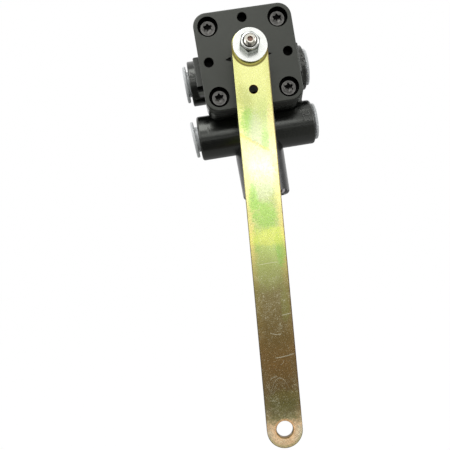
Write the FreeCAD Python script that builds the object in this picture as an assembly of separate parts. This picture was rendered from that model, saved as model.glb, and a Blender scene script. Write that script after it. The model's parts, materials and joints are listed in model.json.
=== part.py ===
import FreeCAD, Part
import math
import os

# Height-control (levelling) valve for an air-suspended vehicle.
# Frame: the flat back face is the plane Y = 0 and the lever shaft runs along Y
# through the origin. The cover looks to -Y, the exhaust and the lever hang to -Z.

# Square front block and cover
block_side = 73.0
block_corner = 10.0
block_depth = 33.0
body_depth = 68.0
cover_depth = 12.0
cover_edge_round = 1.2
cover_front_wall = 8.0
cover_rim_wall = 3.0
fuse_lap = 1.0

# Cover screws and their counterbores
screw_pitch = 52.0
counterbore_d = 15.0
head_sink = 3.5
head_d = 11.6
head_h = 4.0
socket_core_d = 5.4
socket_lobe_d = 1.7
socket_tip_d = 7.2
socket_depth = 2.6
socket_cone_h = 0.7
head_round = 0.7
shank_d = 6.0
shank_length = 18.0
shank_gap = 0.4
shank_end_room = 1.5
shank_chamfer = 0.8

# Locating-pin holes and the pointer marks beside the shaft
pin_circle_r = 29.4
pin_hole_d = 7.0
pin_hole_depth = 9.0
pin_hole_chamfer = 0.3
pointer_tip_r = 17.7
pointer_length = 4.8
pointer_width = 3.6
pointer_depth = 1.0

# Mechanism chamber, neck of the cover and the seal between the two castings
chamber_d = 48.0
chamber_depth = 16.0
neck_d = 20.0
neck_h = 5.0
neck_round = 0.8
cover_seal_r = 27.5
cover_seal_section = 1.6
seal_groove_gap = 0.2
spigot_h = 3.0
spigot_gap = 0.15

# Shaft
shaft_d = 14.0
shaft_hole_gap = 0.3
shaft_end_room = 1.0
shaft_end_chamfer = 0.5
running_gap = 0.05
fixed_gap = 0.02
flange_d = 20.0
flange_h = 4.0
flange_chamfer = 0.6
thread_d = 8.0
tip_chamfer = 1.25
tip_hole_d = 3.7
tip_hole_depth = 4.0
bush_wall = 1.5
bush_length = 9.0
hub_wall = 2.5
shaft_seal_section = 2.0
wiper_h = 2.4
wiper_width = 1.6
wiper_lip_thick = 0.5
wiper_lip_out = 0.8
wiper_to_seal = 1.2
clip_thick = 1.2
clip_height = 2.0
clip_groove = 0.8
clip_opening = 4.0
clip_side_gap = 0.05

# Lever
lever_standoff = 20.0
lever_thick = 3.0
lever_width = 25.0
lever_centres = 266.7
lever_rest_deg = 4.3
lever_end_hole_d = 11.5
lever_end_past = 0.8
lever_pin_hole_d = 6.4
lever_pin_hole_r = 30.4
lever_edge_round = 0.5
lever_thread_gap = 0.1
washer_d = 24.0
washer_thick = 2.0
washer_edge_round = 0.3
washer_play = 0.5
washer_off_centre = 0.35
nut_flats = 13.0
nut_hex_h = 6.4
nut_corner_drop = 1.1
nut_foot_drop = 0.6
nut_collar_h = 1.6
nut_collar_d = 12.4
nut_collar_round = 1.2
nut_turn_deg = 19.0
insert_d = 9.8
insert_lip = 0.5
insert_h = 1.9
insert_sink = 0.4
thread_past_nut = 3.6

# Eccentric drive and valve spool
eccentric = 3.0
crank_pin_d = 5.0
slot_play = 0.2
slot_end_room = 1.0
slot_full_turn_deg = 45.0
spool_head_d = 15.0
spool_head_h = 13.0
spool_head_chamfer = 0.8
spool_d = 12.0
spool_waist_d = 8.6
spool_waist_h = 7.0
spool_foot_land = 6.0
spool_bore_d = 4.0
spool_bore_end_wall = 1.0
spool_ring_section = 1.4
spool_ring_squeeze = 0.05
spool_ring_drops = (5.0, 17.0)
spool_foot_ring_rise = 3.0
drive_bore_d = 19.0
drive_room_above = 12.0
drive_room_below = 10.0
sleeve_wall = 3.0
sleeve_below_port = 14.0
sleeve_port_d = 3.0
sleeve_groove_h = 6.0
sleeve_groove_deep = 1.0
spring_wire = 0.9
spring_mean_d = 8.0
spring_turns = 4.0
spring_room = 10.3
spring_seat_h = 2.0

# Ports: two on the shaft line and two below, all on one plane
port_axis_y = -20.0
port_boss_d = 35.4
port_face_x = 46.5
port_bore_d = 20.4
port_bore_depth = 16.0
port_mouth_chamfer = 0.8
port_passage_d = 8.0
upper_rim_round = 1.0
lower_rim_round = 2.0
lower_port_drop = 45.0

# Supply side strainer and non-return valve behind the lower left port
strainer_d = 19.0
strainer_rim_h = 1.6
strainer_rim_wall = 1.2
strainer_mesh = 0.5
disc_d = 11.0
disc_h = 2.0
disc_edge_round = 0.4
disc_seat_gap = 0.1
disc_lift = 1.0
cage_guide_gap = 0.6
cage_lip = 2.2
cage_lip_h = 1.2
cage_foot_h = 0.6
cage_window_w = 7.0

# Exhaust leg
leg_d = 39.4
leg_tip_d = 38.2
leg_collar = 3.5
leg_root_lap = 4.0
leg_length = 34.3
leg_spigot_d = 30.0
leg_spigot_h = 6.0
leg_spigot_end_gap = 0.3
leg_wall_step = 1.5
leg_mouth_d = 29.0
leg_mouth_depth = 11.0
leg_rim_round = 3.4
grid_web = 2.4
grid_hole_d = 4.6
grid_hole_count = 8
grid_hole_circle = 9.6
silencer_h = 7.0
silencer_hole_gap = 0.4
flap_d = 25.0
flap_thick = 1.3
flap_dome = 1.6
flap_edge_h = 0.4
flap_lip_w = 0.8
flap_seat_gap = 0.1
flap_hub_w = 2.0
flap_stem_d = 4.0
flap_stem_gap = 0.1
flap_head_d = 5.6
flap_head_h = 1.2
flap_nose_h = 2.0
flap_nose_d = 1.6
leg_ring_section = 1.4
leg_ring_gap = 0.05

# Rear half of the housing
rear_half_width = 33.0
rear_top = 33.0
rear_bottom = -25.0
rear_corner = 8.0
rear_edge_round = 1.0
spine_half_width = 15.0
spine_front_y = -38.0
spine_back_y = -3.0
side_pad_x = 41.0
side_pad_top_z = 11.8
side_pad_bottom_z = -14.8
side_pad_front_depth = 20.0
side_pad_round = 1.2
side_pad_lap = 4.0
side_pocket_rim = 0.9
side_pocket_h = 3.4
side_pocket_deep = 5.0
gusset_outer_x = 45.5
gusset_lower_x = 40.5
gusset_top_z = -13.0
gusset_front_y = -27.0
gusset_thick = 14.0
gusset_lap = 4.0
core_pocket_depth = 9.0
core_pocket_wall = 7.2
core_pocket_round = 3.0
stud_boss_wall = 4.7

# Mounting studs
stud_d = 8.0
stud_spread = 50.0
stud_height = 23.0
stud_out = 25.0
stud_root_flats = 11.0
stud_root_h = 12.0
stud_chamfer = 1.0

# Port plugs
plug_flange_d = 29.0
plug_flange_thick = 2.4
plug_neck_show = 2.4
plug_pushed_in = {"upper_left": 0.6, "upper_right": 1.6, "lower_left": 0.0, "lower_right": 1.6}
plug_askew_deg = {"upper_left": 0.0, "upper_right": 0.0, "lower_left": -3.0, "lower_right": 0.0}
plug_neck_d = 20.0
plug_tip_d = 18.4
plug_tip_chamfer = 0.6
plug_insert = 9.0
plug_wall = 1.3
plug_edge_round = 0.9

# Places that follow from the sizes above
X = FreeCAD.Vector(1, 0, 0)
Y = FreeCAD.Vector(0, 1, 0)
Z = FreeCAD.Vector(0, 0, 1)
ORIGIN = FreeCAD.Vector(0, 0, 0)
face_y = -body_depth
cover_back_y = face_y + cover_depth
block_back_y = face_y + block_depth
neck_front_y = face_y - neck_h
lever_back_y = face_y - lever_standoff
lever_front_y = lever_back_y - lever_thick
washer_front_y = lever_front_y - washer_thick
nut_front_y = washer_front_y - nut_hex_h - nut_collar_h
tip_y = nut_front_y - thread_past_nut
chamber_back_y = cover_back_y + chamber_depth
rear_bush_back_y = chamber_back_y + bush_length
shaft_back_y = rear_bush_back_y + shaft_end_room
clip_groove_y = cover_back_y + spigot_h + shaft_hole_gap
shaft_seal_y = neck_front_y + wiper_h + wiper_to_seal
bush_d = shaft_d + 2 * bush_wall
lower_z = -lower_port_drop
spool_shift = -eccentric * math.sin(math.radians(lever_rest_deg))
spool_head_bottom = spool_shift - spool_head_h / 2
sleeve_top = -drive_room_below
sleeve_bottom = lower_z - sleeve_below_port
sleeve_d = spool_d + 2 * sleeve_wall
seat_top = sleeve_bottom + spring_seat_h
spool_bottom = seat_top + spring_room
spool_ring_places = [spool_head_bottom - drop for drop in spool_ring_drops]
spool_ring_places.append(spool_bottom + spool_foot_ring_rise)
leg_split_z = lower_z - port_boss_d / 2 - leg_collar
leg_socket_z = leg_split_z - leg_spigot_h - leg_spigot_end_gap
leg_end_z = leg_split_z - leg_length
leg_bore_r = leg_spigot_d / 2 - leg_wall_step
grid_bottom_z = leg_end_z + leg_mouth_depth
grid_top_z = grid_bottom_z + grid_web
port_floor_x = port_face_x - port_bore_depth
plug_flange_x = port_face_x + plug_neck_show
plug_reach = plug_flange_x + plug_flange_thick


def cylinder(radius, start, end, axis, centre=(0.0, 0.0)):
    """Cylinder along X, Y or Z between two stations; centre gives the other two places in order."""
    if axis == "x":
        base = FreeCAD.Vector(start, centre[0], centre[1])
        direction = X
    elif axis == "y":
        base = FreeCAD.Vector(centre[0], start, centre[1])
        direction = Y
    else:
        base = FreeCAD.Vector(centre[0], centre[1], start)
        direction = Z
    if end < start:
        direction = direction * -1
    return Part.makeCylinder(radius, abs(end - start), base, direction)


def tube(outer, inner, start, end, axis, centre=(0.0, 0.0)):
    """Plain round tube."""
    return cylinder(outer, start, end, axis, centre).cut(cylinder(inner, start, end, axis, centre))


def turned(points, base, axis_vector, radial_vector):
    """Solid of revolution from (station, radius) points round an axis through base."""
    placed = [base + axis_vector * s + radial_vector * r for s, r in points]
    wire = Part.makePolygon(placed + [placed[0]])
    return Part.Face(wire).revolve(base, axis_vector, 360)


def rounded_plate(side_x, side_z, corner, y_from, y_to, centre_z=0.0):
    """Rounded rectangle in the XZ plane, drawn back along Y."""
    half_x = side_x / 2
    corner_place = FreeCAD.Vector(-half_x, y_from, centre_z - side_z / 2)
    plate = Part.makeBox(side_x, y_to - y_from, side_z, corner_place)
    upright = [e for e in plate.Edges if abs(e.Vertexes[0].Y - e.Vertexes[1].Y) > 1e-6]
    return plate.makeFillet(corner, upright)


def ring_seal(radius, section, base, direction):
    """Round-section ring."""
    return Part.makeTorus(radius, section / 2, base, direction)


def edges_at(shape, axis, place, tolerance=0.01):
    """Edges that lie wholly in the plane axis = place."""
    found = []
    for edge in shape.Edges:
        box = edge.BoundBox
        low = {"x": box.XMin, "y": box.YMin, "z": box.ZMin}[axis]
        high = {"x": box.XMax, "y": box.YMax, "z": box.ZMax}[axis]
        if abs(low - place) < tolerance and abs(high - place) < tolerance:
            found.append(edge)
    return found


def hexagon(flats, y_from, y_to, centre=(0.0, 0.0)):
    """Hexagonal prism along Y with one corner pointing down."""
    corner_r = flats / math.sqrt(3)
    corners = []
    for step in range(7):
        angle = math.radians(90 + 60 * step)
        corners.append(FreeCAD.Vector(centre[0] + corner_r * math.cos(angle), y_from,
                                      centre[1] + corner_r * math.sin(angle)))
    return Part.Face(Part.makePolygon(corners)).extrude(Y * (y_to - y_from))


def screw_places():
    """Centres of the four cover screws."""
    half = screw_pitch / 2
    return [(-half, half), (half, half), (half, -half), (-half, -half)]


def port_places():
    """The four ports as (name, side, height)."""
    return [("upper_left", -1, 0.0), ("upper_right", 1, 0.0),
            ("lower_left", -1, lower_z), ("lower_right", 1, lower_z)]


def save(shape, name):
    """Write one piece to its own file."""
    shape.exportStep(os.path.join("parts", name + ".step"))


def make_cover():
    """Square front cover with sunk screw holes, pin holes and pointer marks."""
    cover = rounded_plate(block_side, block_side, block_corner, face_y, cover_back_y)
    cover = cover.makeFillet(cover_edge_round, edges_at(cover, "y", face_y))
    neck = cylinder(neck_d / 2, neck_front_y, face_y + fuse_lap, "y")
    neck = neck.makeFillet(neck_round, edges_at(neck, "y", neck_front_y))
    cover = cover.fuse(neck)
    spigot_end_y = cover_back_y + spigot_h
    spigot_r = chamber_d / 2 - spigot_gap
    cover = cover.fuse(cylinder(spigot_r, cover_back_y - fuse_lap, spigot_end_y, "y"))
    # the spigot is a rim, and the inside of the cover is cored out round the shaft's hub
    hollow_y = face_y + cover_front_wall
    cover = cover.cut(cylinder(spigot_r - cover_rim_wall, hollow_y, spigot_end_y, "y"))
    cover = cover.fuse(cylinder(bush_d / 2 + hub_wall, hollow_y - fuse_lap, spigot_end_y, "y"))
    cover = cover.cut(cylinder(shaft_d / 2 + shaft_hole_gap, neck_front_y, spigot_end_y, "y"))
    # wiper seat in the neck, seal groove, and bush seat
    cover = cover.cut(cylinder(shaft_d / 2 + wiper_width, neck_front_y, neck_front_y + wiper_h, "y"))
    cover = cover.cut(cylinder(shaft_d / 2 + shaft_seal_section + running_gap, shaft_seal_y,
                               shaft_seal_y + shaft_seal_section, "y"))
    cover = cover.cut(cylinder(bush_d / 2 + fixed_gap, spigot_end_y - bush_length, spigot_end_y, "y"))
    for x, z in screw_places():
        cover = cover.cut(cylinder(counterbore_d / 2, face_y, face_y + head_sink + head_h, "y", (x, z)))
        cover = cover.cut(cylinder(shank_d / 2 + shank_gap, face_y, cover_back_y, "y", (x, z)))
    for turn in (0, 90, 180, 270):
        hole = cylinder(pin_hole_d / 2, face_y, face_y + pin_hole_depth, "y", (0, pin_circle_r))
        mouth = turned([(0, 0), (0, pin_hole_d / 2 + pin_hole_chamfer), (pin_hole_chamfer, pin_hole_d / 2),
                        (pin_hole_chamfer, 0)], FreeCAD.Vector(0, face_y, pin_circle_r), Y, X)
        foot = pointer_tip_r - pointer_length
        outline = [FreeCAD.Vector(-pointer_width / 2, face_y, foot), FreeCAD.Vector(0, face_y, pointer_tip_r),
                   FreeCAD.Vector(pointer_width / 2, face_y, foot)]
        mark = Part.Face(Part.makePolygon(outline + [outline[0]])).extrude(Y * pointer_depth)
        for cutter in (hole, mouth, mark):
            cutter.rotate(ORIGIN, Y, turn)
            cover = cover.cut(cutter)
    return cover.removeSplitter()


def make_cover_screw(x, z):
    """Thread-forming cover screw with a six-lobed socket."""
    top_y = face_y + head_sink
    head = cylinder(head_d / 2, top_y, top_y + head_h, "y", (x, z))
    head = head.makeFillet(head_round, edges_at(head, "y", top_y))
    shank = cylinder(shank_d / 2, top_y + head_h, top_y + head_h + shank_length, "y", (x, z))
    shank = shank.makeChamfer(shank_chamfer, edges_at(shank, "y", top_y + head_h + shank_length))
    floor_y = top_y + socket_depth
    socket = cylinder(socket_core_d / 2, top_y, floor_y, "y", (x, z))
    lobe_r = (socket_tip_d - socket_lobe_d) / 2
    for turn in range(0, 360, 60):
        angle = math.radians(turn)
        place = (x + lobe_r * math.sin(angle), z + lobe_r * math.cos(angle))
        socket = socket.fuse(cylinder(socket_lobe_d / 2, top_y, floor_y, "y", place))
    point = turned([(0, 0), (0, socket_core_d / 2), (socket_cone_h, 0)], FreeCAD.Vector(x, floor_y, z), Y, X)
    return head.fuse(shank).cut(socket.fuse(point))


def port_boss(side, height, rim):
    """One round port boss from the middle of the housing out to its face."""
    boss = cylinder(port_boss_d / 2, 0, side * port_face_x, "x", (port_axis_y, height))
    return boss.makeFillet(rim, edges_at(boss, "x", side * port_face_x))


def make_housing():
    """Moulded housing: front block, rear mounting half, four port bosses and the exhaust leg."""
    front = rounded_plate(block_side, block_side, block_corner, cover_back_y, block_back_y)
    front = front.makeFillet(cover_edge_round, edges_at(front, "y", block_back_y))
    rear_height = rear_top - rear_bottom
    rear = rounded_plate(2 * rear_half_width, rear_height, rear_corner, block_back_y - fuse_lap, 0,
                         (rear_top + rear_bottom) / 2)
    rear = rear.makeFillet(rear_edge_round, edges_at(rear, "y", 0))
    body = front.fuse(rear)
    for name, side, height in port_places():
        rim = upper_rim_round if height == 0.0 else lower_rim_round
        body = body.fuse(port_boss(side, height, rim))
    spine = Part.makeBox(2 * spine_half_width, spine_back_y - spine_front_y, lower_port_drop,
                         FreeCAD.Vector(-spine_half_width, spine_front_y, lower_z))
    body = body.fuse(spine)
    middle = (0, port_axis_y)
    body = body.fuse(cylinder(leg_d / 2, lower_z + port_boss_d / 2 + leg_root_lap, leg_split_z, "z", middle))
    spigot_end = leg_split_z - leg_spigot_h
    body = body.fuse(cylinder(leg_spigot_d / 2, leg_split_z + fuse_lap, spigot_end, "z", middle))
    body = body.fuse(make_side_pads())
    body = body.fuse(make_gusset())
    # mechanism chamber, seal groove and screw holes at the front
    body = body.cut(cylinder(chamber_d / 2, cover_back_y, chamber_back_y, "y"))
    groove_half = cover_seal_section / 2 + seal_groove_gap
    body = body.cut(tube(cover_seal_r + groove_half, cover_seal_r - groove_half, cover_back_y,
                         cover_back_y + cover_seal_section, "y"))
    for x, z in screw_places():
        bottom = face_y + head_sink + head_h + shank_length + shank_end_room
        body = body.cut(cylinder(shank_d / 2 + fixed_gap, cover_back_y, bottom, "y", (x, z)))
    # shaft bush, spool drive room, sleeve bore
    body = body.cut(cylinder(bush_d / 2 + fixed_gap, chamber_back_y, port_axis_y, "y"))
    body = body.cut(cylinder(drive_bore_d / 2, -drive_room_below, drive_room_above, "z", middle))
    body = body.cut(cylinder(sleeve_d / 2 + fixed_gap, sleeve_top, spigot_end, "z", middle))
    for name, side, height in port_places():
        floor = side * port_floor_x
        body = body.cut(cylinder(port_bore_d / 2, floor, side * port_face_x, "x", (port_axis_y, height)))
        body = body.cut(cylinder(port_passage_d / 2, 0, floor, "x", (port_axis_y, height)))
        mouth = turned([(0, 0), (0, port_bore_d / 2 + port_mouth_chamfer),
                        (-port_mouth_chamfer, port_bore_d / 2), (-port_mouth_chamfer, 0)],
                       FreeCAD.Vector(side * port_face_x, port_axis_y, height), X * side, Z)
        body = body.cut(mouth)
    for side in (-1, 1):
        place = (side * stud_spread / 2, stud_height)
        root = hexagon(stud_root_flats + 2 * fixed_gap, -stud_root_h, 0, place)
        body = body.cut(root)
    body = body.cut(make_core_pocket())
    return body.removeSplitter()


def make_side_pads():
    """Flat-topped shoulders beside the front block, notched at the foot of the left one."""
    front = face_y + side_pad_front_depth
    depth = block_back_y + side_pad_lap - front
    pads = Part.makeBox(2 * side_pad_x, depth, side_pad_top_z - side_pad_bottom_z,
                        FreeCAD.Vector(-side_pad_x, front, side_pad_bottom_z))
    outer = [e for e in pads.Edges if abs(abs(e.CenterOfMass.x) - side_pad_x) < 0.01]
    pads = pads.makeFillet(side_pad_round, outer)
    pocket = Part.makeBox(side_pad_x - block_side / 2, side_pocket_deep, side_pocket_h,
                          FreeCAD.Vector(-side_pad_x, front, side_pad_bottom_z + side_pocket_rim))
    return pads.cut(pocket)


def make_gusset():
    """Web that ties the upper right port boss to the one below it."""
    boss_top = lower_z + port_boss_d / 2
    foot = boss_top - gusset_lap
    outline = [FreeCAD.Vector(spine_half_width, gusset_front_y, gusset_top_z),
               FreeCAD.Vector(gusset_outer_x, gusset_front_y, gusset_top_z),
               FreeCAD.Vector(gusset_lower_x, gusset_front_y, boss_top),
               FreeCAD.Vector(gusset_lower_x, gusset_front_y, foot),
               FreeCAD.Vector(spine_half_width, gusset_front_y, foot)]
    return Part.Face(Part.makePolygon(outline + [outline[0]])).extrude(Y * gusset_thick)


def make_core_pocket():
    """Moulding core in the top of the rear half, between the stud bosses."""
    half = stud_spread / 2 - stud_d / 2 - stud_boss_wall
    front = block_back_y + core_pocket_wall
    pocket = Part.makeBox(2 * half, -core_pocket_wall / 2 - front, core_pocket_depth,
                          FreeCAD.Vector(-half, front, rear_top - core_pocket_depth))
    upright = [e for e in pocket.Edges if abs(e.Vertexes[0].Z - e.Vertexes[1].Z) > 1e-6]
    return pocket.makeFillet(core_pocket_round, upright)


def make_shaft():
    """Steel shaft with clamping flange, threaded nose and crank pin."""
    collar_y = lever_back_y + flange_h
    shaft = cylinder(shaft_d / 2, collar_y - fuse_lap, shaft_back_y, "y")
    shaft = shaft.makeChamfer(shaft_end_chamfer, edges_at(shaft, "y", shaft_back_y))
    flange = cylinder(flange_d / 2, lever_back_y, collar_y, "y")
    flange = flange.makeChamfer(flange_chamfer, edges_at(flange, "y", collar_y))
    nose = cylinder(thread_d / 2, tip_y, lever_back_y + fuse_lap, "y")
    nose = nose.makeChamfer(tip_chamfer, edges_at(nose, "y", tip_y))
    shaft = shaft.fuse(flange).fuse(nose)
    angle = math.radians(lever_rest_deg)
    pin_x = eccentric * math.cos(angle)
    pin_z = -eccentric * math.sin(angle)
    pin_end = port_axis_y + spool_head_d / 2
    shaft = shaft.fuse(cylinder(crank_pin_d / 2, shaft_back_y - fuse_lap, pin_end, "y", (pin_x, pin_z)))
    shaft = shaft.cut(cylinder(tip_hole_d / 2, tip_y, tip_y + tip_hole_depth, "y"))
    groove_end = clip_groove_y + clip_thick + 2 * clip_side_gap
    return shaft.cut(tube(shaft_d, shaft_d / 2 - clip_groove, clip_groove_y, groove_end, "y"))


def make_cover_seal():
    """Ring seal in the groove of the housing, behind the cover."""
    middle = cover_back_y + cover_seal_section / 2
    return ring_seal(cover_seal_r, cover_seal_section, FreeCAD.Vector(0, middle, 0), Y)


def make_shaft_clip():
    """Open retaining ring that holds the shaft in the cover."""
    start = clip_groove_y + clip_side_gap
    inner = shaft_d / 2 - clip_groove + fixed_gap
    ring = tube(inner + clip_height, inner, start, start + clip_thick, "y")
    gap = Part.makeBox(clip_opening, clip_thick, shaft_d, FreeCAD.Vector(-clip_opening / 2, start, 0))
    return ring.cut(gap)


def make_front_bush():
    """Plain bearing in the cover."""
    end = cover_back_y + spigot_h
    return tube(bush_d / 2, shaft_d / 2 + running_gap, end - bush_length, end, "y")


def make_rear_bush():
    """Plain bearing in the housing, ahead of the crank pin."""
    return tube(bush_d / 2, shaft_d / 2 + running_gap, chamber_back_y, rear_bush_back_y, "y")


def make_shaft_seal():
    """Ring seal round the shaft inside the neck."""
    middle = shaft_seal_y + shaft_seal_section / 2
    radius = shaft_d / 2 + shaft_seal_section / 2 + running_gap
    return ring_seal(radius, shaft_seal_section - running_gap, FreeCAD.Vector(0, middle, 0), Y)


def make_dust_wiper():
    """Rubber lip ring in the mouth of the neck."""
    inner = shaft_d / 2 + running_gap
    outer = shaft_d / 2 + wiper_width - fixed_gap
    root = inner + wiper_lip_thick
    profile = [(0, root), (0, outer), (wiper_h, outer), (wiper_h, root), (wiper_h / 2, root),
               (-wiper_lip_out + wiper_lip_thick / 2, inner), (-wiper_lip_out, inner + wiper_lip_thick / 2)]
    return turned(profile, FreeCAD.Vector(0, neck_front_y, 0), Y, X)


def make_lever():
    """Flat steel lever with full-round ends, hanging at its rest angle."""
    half = lever_width / 2
    tip_centre = lever_centres + lever_end_past
    bar = Part.makeBox(lever_width, lever_thick, tip_centre,
                       FreeCAD.Vector(-half, lever_front_y, -tip_centre))
    bar = bar.fuse(cylinder(half, lever_front_y, lever_back_y, "y"))
    bar = bar.fuse(cylinder(half, lever_front_y, lever_back_y, "y", (0, -tip_centre)))
    bar = bar.removeSplitter()
    rims = edges_at(bar, "y", lever_front_y) + edges_at(bar, "y", lever_back_y)
    bar = bar.makeFillet(lever_edge_round, rims)
    bar = bar.cut(cylinder(thread_d / 2 + lever_thread_gap, lever_front_y, lever_back_y, "y"))
    bar = bar.cut(cylinder(lever_pin_hole_d / 2, lever_front_y, lever_back_y, "y", (0, -lever_pin_hole_r)))
    bar = bar.cut(cylinder(lever_end_hole_d / 2, lever_front_y, lever_back_y, "y", (0, -lever_centres)))
    bar.rotate(ORIGIN, Y, lever_rest_deg)
    return bar


def make_washer():
    """Plain washer under the lock nut."""
    washer = cylinder(washer_d / 2, washer_front_y, lever_front_y, "y")
    washer = washer.makeFillet(washer_edge_round, edges_at(washer, "y", washer_front_y))
    washer = washer.cut(cylinder(thread_d / 2 + washer_play, washer_front_y, lever_front_y, "y"))
    washer.translate(X * washer_off_centre)
    return washer


def make_nut():
    """Lock nut: chamfered hexagon with a crimped collar for its ring."""
    base_y = washer_front_y
    top_y = base_y - nut_hex_h
    body = hexagon(nut_flats, top_y, base_y)
    corner_r = nut_flats / math.sqrt(3)
    foot = nut_hex_h - nut_foot_drop
    profile = [(0, 0), (0, nut_flats / 2), (nut_corner_drop, corner_r), (foot, corner_r),
               (nut_hex_h, corner_r - nut_foot_drop), (nut_hex_h, 0)]
    body = body.common(turned(profile, FreeCAD.Vector(0, top_y, 0), Y, X))
    collar = cylinder(nut_collar_d / 2, nut_front_y, top_y + fuse_lap, "y")
    collar = collar.makeFillet(nut_collar_round, edges_at(collar, "y", nut_front_y))
    body = body.fuse(collar)
    body = body.cut(cylinder(thread_d / 2 + fixed_gap, nut_front_y, base_y, "y"))
    seat_y = nut_front_y + insert_sink
    body = body.cut(cylinder(insert_d / 2 - insert_lip, nut_front_y, seat_y, "y"))
    body = body.cut(cylinder(insert_d / 2, seat_y, seat_y + insert_h, "y"))
    body.rotate(ORIGIN, Y, nut_turn_deg)
    return body


def make_nut_insert():
    """Nylon locking ring inside the nut's collar."""
    seat_y = nut_front_y + insert_sink
    return tube(insert_d / 2 - fixed_gap, thread_d / 2 + fixed_gap, seat_y, seat_y + insert_h, "y")


def make_spool():
    """Valve spool: slotted drive head, sealed stem and hollow core."""
    axis = (0, port_axis_y)
    top = spool_shift + spool_head_h / 2
    head = cylinder(spool_head_d / 2, spool_head_bottom, top, "z", axis)
    head = head.makeChamfer(spool_head_chamfer, edges_at(head, "z", top))
    spool = head.fuse(cylinder(spool_d / 2, spool_bottom, spool_head_bottom + fuse_lap, "z", axis))
    slot_h = crank_pin_d + 2 * slot_play
    slot_from = eccentric * math.cos(math.radians(slot_full_turn_deg)) - crank_pin_d / 2 - slot_end_room
    slot = Part.makeBox(spool_head_d, spool_head_d, slot_h,
                        FreeCAD.Vector(slot_from, port_axis_y - spool_head_d / 2, spool_shift - slot_h / 2))
    spool = spool.cut(slot)
    waist_from = spool_bottom + spool_foot_land
    spool = spool.cut(tube(spool_d, spool_waist_d / 2, waist_from, waist_from + spool_waist_h, "z", axis))
    bore_end = spool_head_bottom - spool_bore_end_wall
    spool = spool.cut(cylinder(spool_bore_d / 2, spool_bottom, bore_end, "z", axis))
    groove_r = spool_d / 2 - spool_ring_section
    half = spool_ring_section / 2 + 2 * spool_ring_squeeze
    for place in spool_ring_places:
        spool = spool.cut(tube(spool_d, groove_r, place - half, place + half, "z", axis))
    return spool


def make_spool_rings():
    """Ring seals of the spool."""
    rings = []
    for place in spool_ring_places:
        centre = FreeCAD.Vector(0, port_axis_y, place)
        radius = spool_d / 2 - spool_ring_section / 2 + running_gap / 2
        rings.append(ring_seal(radius, spool_ring_section - spool_ring_squeeze, centre, Z))
    return Part.makeCompound(rings)


def make_sleeve():
    """Brass sleeve that the spool slides in."""
    axis = (0, port_axis_y)
    sleeve = tube(sleeve_d / 2, spool_d / 2 + running_gap, sleeve_bottom, sleeve_top, "z", axis)
    groove_from = lower_z - sleeve_groove_h / 2
    sleeve = sleeve.cut(tube(sleeve_d, sleeve_d / 2 - sleeve_groove_deep, groove_from,
                             groove_from + sleeve_groove_h, "z", axis))
    across = cylinder(sleeve_port_d / 2, -sleeve_d, sleeve_d, "x", (port_axis_y, lower_z))
    along = cylinder(sleeve_port_d / 2, port_axis_y - sleeve_d, port_axis_y + sleeve_d, "y", (0, lower_z))
    return sleeve.cut(across).cut(along)


def make_spring_seat():
    """Pierced washer in the foot of the sleeve."""
    return tube(spool_d / 2 + running_gap - fixed_gap, spool_bore_d / 2, sleeve_bottom, seat_top, "z",
                (0, port_axis_y))


def make_spool_spring():
    """Light coil spring that takes up the play of the crank pin."""
    free = spool_bottom - seat_top - spring_wire
    helix = Part.makeHelix(free / spring_turns, free, spring_mean_d / 2)
    profile = Part.Wire([Part.makeCircle(spring_wire / 2, FreeCAD.Vector(spring_mean_d / 2, 0, 0), Y)])
    spring = Part.Wire(helix.Edges).makePipeShell([profile], True, True)
    spring.translate(FreeCAD.Vector(0, port_axis_y, seat_top + spring_wire / 2))
    return spring


def make_leg():
    """Exhaust leg: tapered sleeve with a grid across it and an open mouth."""
    leg = Part.makeCone(leg_tip_d / 2, leg_d / 2, leg_length, FreeCAD.Vector(0, port_axis_y, leg_end_z), Z)
    leg = leg.makeFillet(leg_rim_round, edges_at(leg, "z", leg_end_z))
    axis = (0, port_axis_y)
    leg = leg.cut(cylinder(leg_spigot_d / 2 + fixed_gap, leg_socket_z, leg_split_z, "z", axis))
    leg = leg.cut(cylinder(leg_bore_r, grid_top_z, leg_socket_z, "z", axis))
    leg = leg.cut(cylinder(leg_mouth_d / 2, leg_end_z, grid_bottom_z, "z", axis))
    for step in range(grid_hole_count):
        angle = 2 * math.pi * step / grid_hole_count
        place = (grid_hole_circle * math.cos(angle), port_axis_y + grid_hole_circle * math.sin(angle))
        leg = leg.cut(cylinder(grid_hole_d / 2, grid_bottom_z, grid_top_z, "z", place))
    return leg.cut(cylinder(flap_stem_d / 2 + flap_stem_gap, grid_bottom_z, grid_top_z, "z", axis))


def make_leg_ring():
    """Ring seal between the housing's spigot and the exhaust leg."""
    middle = leg_socket_z - leg_ring_section / 2
    radius = leg_bore_r - leg_ring_section / 2 - leg_ring_gap
    return ring_seal(radius, leg_ring_section, FreeCAD.Vector(0, port_axis_y, middle), Z)


def make_silencer():
    """Felt silencer pad on the grid."""
    hole_r = flap_head_d / 2 + silencer_hole_gap
    return tube(leg_bore_r - fixed_gap, hole_r, grid_top_z, grid_top_z + silencer_h, "z", (0, port_axis_y))


def make_flap():
    """Rubber umbrella valve: domed disc with a stem and a snap head through the grid."""
    stem_r = flap_stem_d / 2
    hub_r = stem_r + flap_hub_w
    crown = -flap_thick - flap_dome
    head = grid_web + fixed_gap
    nose = head + flap_head_h + flap_nose_h
    profile = [(0, 0), (crown, 0), (crown, stem_r), (-flap_thick, flap_d / 2 - flap_lip_w),
               (-flap_seat_gap - flap_edge_h, flap_d / 2), (-flap_seat_gap, flap_d / 2),
               (-flap_seat_gap, flap_d / 2 - flap_lip_w), (-flap_thick / 2, hub_r + flap_lip_w),
               (-fixed_gap, hub_r), (-fixed_gap, stem_r), (head, stem_r), (head, flap_head_d / 2),
               (head + flap_head_h, flap_head_d / 2), (nose, flap_nose_d / 2), (nose, 0)]
    return turned(profile, FreeCAD.Vector(0, port_axis_y, grid_bottom_z), Z, X)


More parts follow.
